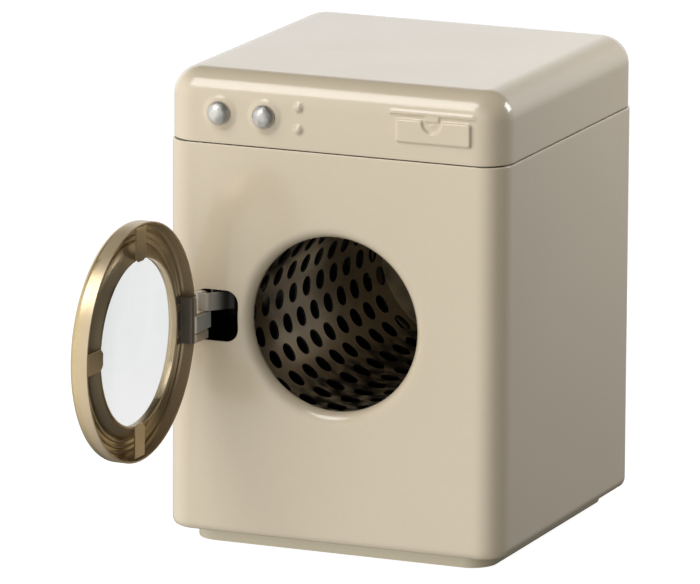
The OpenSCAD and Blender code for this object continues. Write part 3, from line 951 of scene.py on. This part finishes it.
hubRivets = Build()
for turn in (45, 135, 225, 315):
    a = math.radians(turn)
    centre = (rivet["hubRing"] * math.cos(a), cabinet["axis"] + rivet["hubRing"] * math.sin(a))
    lathe(hubRivets, rivetProfile(*rivet["hubSpan"]), rivet["steps"], centre, False)
register(finishMesh(hubRivets, "hubRivets", 40), "drum", "hub_rivets", looks["bright_steel"])
print("axle parts made")

# Knobs, domed and slightly dented
knobLook = {
    "r": 3.1, "dome": 1.9, "edge": 0.5, "base": -48.2, "dent": 0.09, "shank": 0.9, "shankEnd": 1.3,
    "washerR": 2.25, "washerY": (-46.8, -46.3),
}


def makeKnob(name, centre, body, node, seed):
    k = knobLook
    base = k["base"]
    top = base - k["edge"]
    sphere = (k["r"] ** 2 + k["dome"] ** 2) / (2 * k["dome"])
    profile = [(0.0, top - k["dome"])]
    limit = math.asin(k["r"] / sphere)
    for i in range(1, 22):
        a = limit * i / 22
        profile.append((sphere * math.sin(a), top - k["dome"] + sphere * (1 - math.cos(a))))
    edge = [(k["r"] * 0.985, top - 0.06), (k["r"], top + 0.05), (k["r"], base)]
    edge += [(k["shank"] + 0.3, base), (k["shank"], base + 0.1)]
    profile += softProfile(edge, 0.14, 3, False)
    shankEnd = frontY + k["shankEnd"]
    profile += [(k["shank"], shankEnd), (0.0, shankEnd)]

    def dented(p, r):
        if p[1] > top + 0.3:
            return p
        d = noise.noise(Vector((p[0] * 0.55 + seed, p[1] * 0.3, p[2] * 0.55)))
        lift = k["dent"] * (d - 0.25) * (1 - smoothStep(0.9, 1.0, r / k["r"]))
        return (p[0], p[1] - lift + 0.02, p[2])

    b = Build()
    lathe(b, profile, 72, centre, False, dented)
    register(finishMesh(b, name, 35), body, node, looks["pewter"])
    w = Build()
    near, far = k["washerY"]
    washer = [(k["shank"], near), (k["washerR"], near), (k["washerR"], far), (k["shank"], far)]
    lathe(w, softProfile(washer, 0.1), 48, centre)
    washerObj = finishMesh(w, name + "Washer", 35)
    register(washerObj, body, node + "_washer", looks["bright_steel"])


makeKnob("knobLeft", capLook["knobs"][0], "left_knob", "knob_left", 3.7)
makeKnob("knobRight", capLook["knobs"][1], "right_knob", "knob_right", 9.2)
print("knobs made")

# Door, drawn closed and then turned open about its pin
door = {
    "angle": 92.0, "pin": (-36.0, -48.4), "front": -53.7, "ringR": 31.0, "windowR": 21.6,
    "depth": 5.4, "collar": 4.6, "sheet": 0.5, "lipOut": 2.0, "play": (-0.5, 0.5), "lean": 0.008,
}


def swing(x, y, z, degrees):
    px, py = door["pin"]
    dx, dy = x - px, y - py
    c, s = math.cos(math.radians(degrees)), math.sin(math.radians(degrees))
    return (px + dx * c - dy * s, py + dx * s + dy * c, z)


def turnBuild(b):
    b.points = [swing(*p, -door["angle"]) for p in b.points]
    return b


def ringProfile():
    d = door
    r, w, t, f = d["ringR"], d["windowR"], d["sheet"], d["front"]
    out = [
        (w, f + 2.4), (w + 0.1, f + 2.05), (w + 0.4, f + 1.8), (24.0, f + 0.35), (24.5, f + 0.08),
        (25.0, f), (27.0, f)
    ]
    out += [
        (r - d["lipOut"] + d["lipOut"] * math.sin(a), f + d["lipOut"] - d["lipOut"] * math.cos(a))
        for a in quarter(10)
    ]
    out += [
        (r, f + 3.2), (r, f + d["depth"] - 0.12), (r - 0.12, f + d["depth"]),
        (r - t + 0.12, f + d["depth"]), (r - t, f + d["depth"] - 0.12), (r - t, f + 3.0)
    ]
    out += [(r - t - 0.1, f + 2.5), (r - t - 0.4, f + 2.15), (29.3, f + 1.95)]
    for groove in (28.6, 27.1, 25.6):
        out += [
            (groove + 0.45, f + 1.95), (groove + 0.15, f + 2.45), (groove - 0.1, f + 2.5),
            (groove - 0.4, f + 2.05)
        ]
    out += [
        (24.7, f + 2.2), (24.0, f + 2.75), (23.2, f + 3.5), (22.5, f + 4.2), (22.2, f + 4.5),
        (w + 0.5, f + d["collar"]), (w + 0.12, f + d["collar"]), (w, f + d["collar"] - 0.12)
    ]
    return out


# The door hangs a little out of true on its hinge
def settle(b):
    side, out = door["play"]
    lean, axis = door["lean"], cabinet["axis"]
    b.points = [(x + side, y + out + lean * (z - axis), z) for x, y, z in b.points]
    return turnBuild(b)


doorRing = Build()
lathe(doorRing, ringProfile(), 224, (0, cabinet["axis"]))
ringObj = finishMesh(settle(doorRing), "doorRing", 32)


# The rule sees the door's parts where they lie when it is shut
def addPatina(obj, rule):
    paintField(obj, "patinaAndPaintedLight", lambda x, y, z: rule(*swing(x, y, z, door["angle"])))


def ringPatina(x, y, z):
    r = math.hypot(x, z - cabinet["axis"])
    if door["windowR"] + 0.3 < r < door["ringR"] + 0.3 and y > door["front"] + 2.2 + door["play"][1]:
        return 0.0 if r > door["ringR"] + 0.1 else 0.85
    return 0.0


addPatina(ringObj, ringPatina)
register(ringObj, "door", "door_ring", looks["antique_brass"])

paneLook = {"r": 21.65, "sheet": 0.6, "seat": 3.0}
pane = Build()
paneY = door["front"] + paneLook["seat"]
paneBack = paneY + paneLook["sheet"]
paneEdge = [(0.0, paneY), (paneLook["r"], paneY), (paneLook["r"], paneBack), (0.0, paneBack)]
lathe(pane, softProfile(paneEdge, 0.1, 3, False), 160, (0, cabinet["axis"]), False)
register(finishMesh(settle(pane), "doorPane", 35), "door", "door_pane", looks["clear_pane"])
print("ring and pane made")

clipLook = {"w": 5.6, "t": 0.4, "reach": 0.4}


def makeClip(name, node, turn):
    k = clipLook
    b = Build()
    clipY = door["front"] + door["collar"]
    inner = door["windowR"] - k["reach"]
    seat = math.sqrt((door["ringR"] - door["sheet"]) ** 2 - k["w"] ** 2 / 4)
    foot = door["front"] + door["depth"] / 2
    path = densePath(
        [(inner, clipY + k["t"] / 2), (seat - k["t"] / 2, clipY + k["t"] / 2), (seat - k["t"] / 2, foot)],
        0.5, 0.6
    )
    s = lengths(path)
    half = []
    for q in s:
        end = max(0.0, 1.6 - q) / 1.6
        half.append(k["w"] / 2 * (1 - 0.45 * end * end))
    a = math.radians(turn)

    def place(u, v, w):
        x, z = w, u
        return (x * math.cos(a) + z * math.sin(a), v, cabinet["axis"] - x * math.sin(a) + z * math.cos(a))

    strip(b, path, k["t"], [-h for h in half], half, place)
    obj = finishMesh(settle(b), name, 35)
    addPatina(obj, lambda x, y, z: 0.45)
    register(obj, "door", node, looks["antique_brass"])


makeClip("clipTop", "clip_top", 0)
makeClip("clipSide", "clip_side", 90)
makeClip("clipBottom", "clip_bottom", 180)
print("clips made")

# Hinge leaf on the door, bracket in the cabinet, and their pin
hinge = {
    "knuckleR": 1.45, "pinR": 0.7, "sheet": 0.5, "leafZ": (55.25, 67.55), "split": 62.75,
    "fold": -28.0, "foot": -24.3, "webX": -33.55, "bracketTop": 75.15, "tail": 0.5, "narrow": 6.2,
    "blocks": ((-1.8, -29.4, 0.45, (57.95, 62.35)), (-0.4, -29.6, 0.4, (55.4, 57.5))), "blockT": 0.42,
    "tone": (57.7, 62.6), "slant": ((-31.4, 0.6), (-29.9, 2.6), (-28.6, 3.4)), "tab": (4.7, 68.75),
    "pinZ": (55.15, 67.55), "rivetRise": 13.5 / 4,
}


def knuckle(b, z0, z1):
    px, py = door["pin"]
    r0, r1 = hinge["pinR"] + 0.04, hinge["knuckleR"]
    rings = []
    for r, z in softProfile([(r0, z0), (r1, z0), (r1, z1), (r0, z1)], 0.12, 3):
        rings.append([(u, v, z) for u, v in circle(px, py, r, 40)])
    b.loops(rings, closed=True)


def makeLeaf():
    h = hinge
    z0, z1 = h["leafZ"]
    back = door["pin"][1] + h["knuckleR"] - h["sheet"] / 2
    trough = door["front"] + door["play"][1] + 2.3 + h["sheet"] / 2
    b = Build()
    bend = h["fold"] - h["sheet"] / 2
    corners = [(door["pin"][0] - h["tail"], back), (bend, back), (bend, trough), (h["foot"], trough)]
    path = densePath(corners, 0.7, 0.25)
    s = lengths(path)
    full = h["narrow"]
    high = []
    for q in s:
        high.append(h["split"] if q < full else z1 - 0.8 * (1 - smoothStep(full, full + 0.5, q)))
    end = s[-1]
    low = [z0 + 0.9 * smoothStep(end - 0.9, end, q) ** 2 for q in s]
    high = [v - 0.9 * smoothStep(end - 0.9, end, q) ** 2 for v, q in zip(high, s)]
    strip(b, path, h["sheet"], low, high, lambda u, v, w: (u, v, w))
    knuckle(b, z0, h["split"])
    for start, stop, lift, (foot, head) in h["blocks"]:
        block = densePath([(door["pin"][0] + start, back + lift), (stop, back + lift)], 0.3, 0.5)
        strip(b, block, h["blockT"], [foot for q in block], [head for q in block], lambda u, v, w: (u, v, w))
    return turnBuild(b)


def leafTone(x, y, z):
    low, high = hinge["tone"]
    return 1.0 if z < low or z > high else 0.0


doorLeaf = finishMesh(makeLeaf(), "doorLeaf", 35)
addPatina(doorLeaf, leafTone)
# Painted shade: the leaf's fold and foot, set into the door's trough, are darkened toward near black
paintField(doorLeaf, "inside", lambda x, y, z: 0.8 * smoothStep(-55.2, -56.0, y))
register(doorLeaf, "door", "door_leaf", looks["hinge_steel"])


def makeBracket():
    h = hinge
    z0, z1 = h["split"] + 0.1, h["leafZ"][1]
    py = door["pin"][1]
    b = Build()
    knuckle(b, z0, z1)
    frontPlane = py - h["knuckleR"] + h["sheet"] / 2
    web = h["webX"] - h["sheet"] / 2
    corners = [(door["pin"][0] + 0.2, frontPlane), (web, frontPlane)]
    corners += [(u, frontY + v) for u, v in h["slant"]]
    path = densePath(corners, 0.6, 0.25)
    strip(b, path, h["sheet"], [z0 for q in path], [z1 for q in path], lambda u, v, w: (u, v, w))
    up = densePath([(web, frontY + 0.9), (web, frontY + 3.6)], 0.3, 0.5)
    strip(b, up, h["sheet"], [z0 for q in up], [h["bracketTop"] for q in up], lambda u, v, w: (u, v, w))
    tabEnd, tabLow = h["tab"]
    foot = densePath([(web - 0.25, frontY + 0.85), (web + tabEnd, frontY + 0.85)], 0.3, 0.5)
    strip(
        b, foot, h["sheet"], [tabLow for q in foot], [h["bracketTop"] for q in foot], lambda u, v,
        w: (u, v, w)
    )
    return b


bracketObj = finishMesh(makeBracket(), "hingeBracket", 35)
paintField(bracketObj, "patinaAndPaintedLight", lambda x, y, z: 0.5)
# Painted shade: the bracket darkens towards near black as it runs into the hinge slot
paintField(bracketObj, "inside", lambda x, y, z: 0.45 + 0.53 * smoothStep(-33.0, -30.2, x))
register(bracketObj, "cabinet", "hinge_bracket", looks["hinge_steel"])


def makePin():
    b = Build()
    px, py = door["pin"]
    z0, z1 = hinge["pinZ"]
    r = hinge["pinR"]
    profile = [(0, z0 - 0.3), (1.0, z0 - 0.3), (1.2, z0 - 0.15), (1.2, z0), (r, z0), (r, z1)]
    profile += [(1.2, z1), (1.2, z1 + 0.12), (0.9, z1 + 0.3), (0, z1 + 0.3)]
    b.loops([[(u, v, z) for u, v in circle(px, py, max(r, 0.01), 32)] for r, z in profile])
    return b


register(finishMesh(makePin(), "hingePin", 35), "cabinet", "hinge_pin", looks["bright_steel"])

leafRivets = Build()
for dz in (-1, 1):
    centre = ((hinge["fold"] + hinge["foot"]) / 2, cabinet["axis"] + dz * hinge["rivetRise"])
    span = rivetProfile(door["front"], door["front"] + rivet["leafSpan"])
    lathe(leafRivets, span, rivet["steps"], centre, False)
rivetObj = finishMesh(settle(leafRivets), "leafRivets", 40)
addPatina(rivetObj, lambda x, y, z: 0.1)
register(rivetObj, "door", "leaf_rivets", looks["antique_brass"])
print("hinge made")

# Camera, lights and floor
view = {"place": (795.824, -1912.912, 525.85), "turns": (77.3472, -0.2918, 23.033), "lens": 417.0651}
cameraData = bpy.data.cameras.new("camera")
cameraData.sensor_width = 36
cameraData.lens = view["lens"]
cameraData.clip_end = 50
camera = bpy.data.objects.new("camera", cameraData)
turns = Euler([math.radians(a) for a in view["turns"]])
camera.matrix_world = Matrix.LocRotScale(Vector(view["place"]) * mm, turns, None)
scene.collection.objects.link(camera)
scene.camera = camera

# Lamps in metres and watts, then the broad glows of a white room by direction, reach and height
studio = {
    "lamps": {
        "softbox": {"place": (-0.342, -0.510, 0.739), "aim": (0, 0, 0.08), "size": 0.46, "power": 3.75},
        "sideLamp": {"place": (0.24, 0.14, 0.235), "aim": (0.047, 0.01, 0.11), "size": 0.10, "power": 0.34},
        "drumLamp": {
            "place": (0.085, -0.150, 0.068), "aim": (0.001, -0.045, 0.0610), "size": 0.012, "power": 0.0055,
            "spread": 8
        },
    },
    "glows": (
        {
            "toward": (-0.673, -0.738, 0.052), "start": -0.43, "full": 0.95, "strength": 1.20,
            "rise": (-3, -2), "fade": (0.35, 0.85)
        },
        {
            "toward": (-0.032, 0.999, 0.0), "start": 0.15, "full": 0.75, "strength": 1.08,
            "rise": (-0.45, 0.15), "fade": (0.30, 0.60)
        },
    ),
    "base": 0.03,
}
for name, v in studio["lamps"].items():
    lamp = bpy.data.lights.new(name, "AREA")
    lamp.shape = "SQUARE"
    lamp.size = v["size"]
    lamp.energy = v["power"]
    lamp.spread = math.radians(v.get("spread", 180))
    lampObj = bpy.data.objects.new(name, lamp)
    lampObj.location = v["place"]
    lampObj.rotation_euler = (Vector(v["aim"]) - lampObj.location).to_track_quat("-Z", "Y").to_euler()
    scene.collection.objects.link(lampObj)


def softRange(tree, value, start, full, low, high):
    out = rangeNode(tree, value, low, high, start, full)
    out.node.interpolation_type = "SMOOTHSTEP"
    return out


def makeRoom():
    world = bpy.data.worlds.new("studio")
    world.use_nodes = True
    tree = world.node_tree
    direction = tree.nodes.new("ShaderNodeTexCoord").outputs["Generated"]
    split = tree.nodes.new("ShaderNodeSeparateXYZ")
    tree.links.new(direction, split.inputs[0])
    total = studio["base"]
    for glow in studio["glows"]:
        dot = tree.nodes.new("ShaderNodeVectorMath")
        dot.operation = "DOT_PRODUCT"
        dot.inputs[1].default_value = glow["toward"]
        tree.links.new(direction, dot.inputs[0])
        fan = softRange(tree, dot.outputs["Value"], glow["start"], glow["full"], 0, glow["strength"])
        fade = mathNode(
            tree, "MULTIPLY", softRange(tree, split.outputs[2], *glow["rise"], 0, 1),
            softRange(tree, split.outputs[2], *glow["fade"], 1, 0)
        )
        total = mathNode(tree, "ADD", total, mathNode(tree, "MULTIPLY", fan, fade))
    sky = tree.nodes["Background"]
    sky.inputs["Color"].default_value = (1, 1, 1, 1)
    tree.links.new(total, sky.inputs["Strength"])
    return world


scene.world = makeRoom()

floorMesh = bpy.data.meshes.new("floor")
floorMesh.from_pydata([(-6, -6, 0), (6, -6, 0), (6, 6, 0), (-6, 6, 0)], [], [(0, 1, 2, 3)])
floor = bpy.data.objects.new("floor", floorMesh)
scene.collection.objects.link(floor)
floorMaterial, _, floorShader, _ = newMaterial("paleFloor")
floorShader.inputs["Base Color"].default_value = (0.3, 0.3, 0.3, 1)
floorShader.inputs["Roughness"].default_value = 0.8
floorShader.inputs["Specular IOR Level"].default_value = 0.0
floorShader.inputs["Emission Color"].default_value = (1, 1, 1, 1)
floorShader.inputs["Emission Strength"].default_value = 0.93
floorMesh.materials.append(floorMaterial)
floor.visible_diffuse = False
floor.visible_glossy = False
floor.visible_shadow = False
scene.view_settings.view_transform = "Standard"
print("studio set")
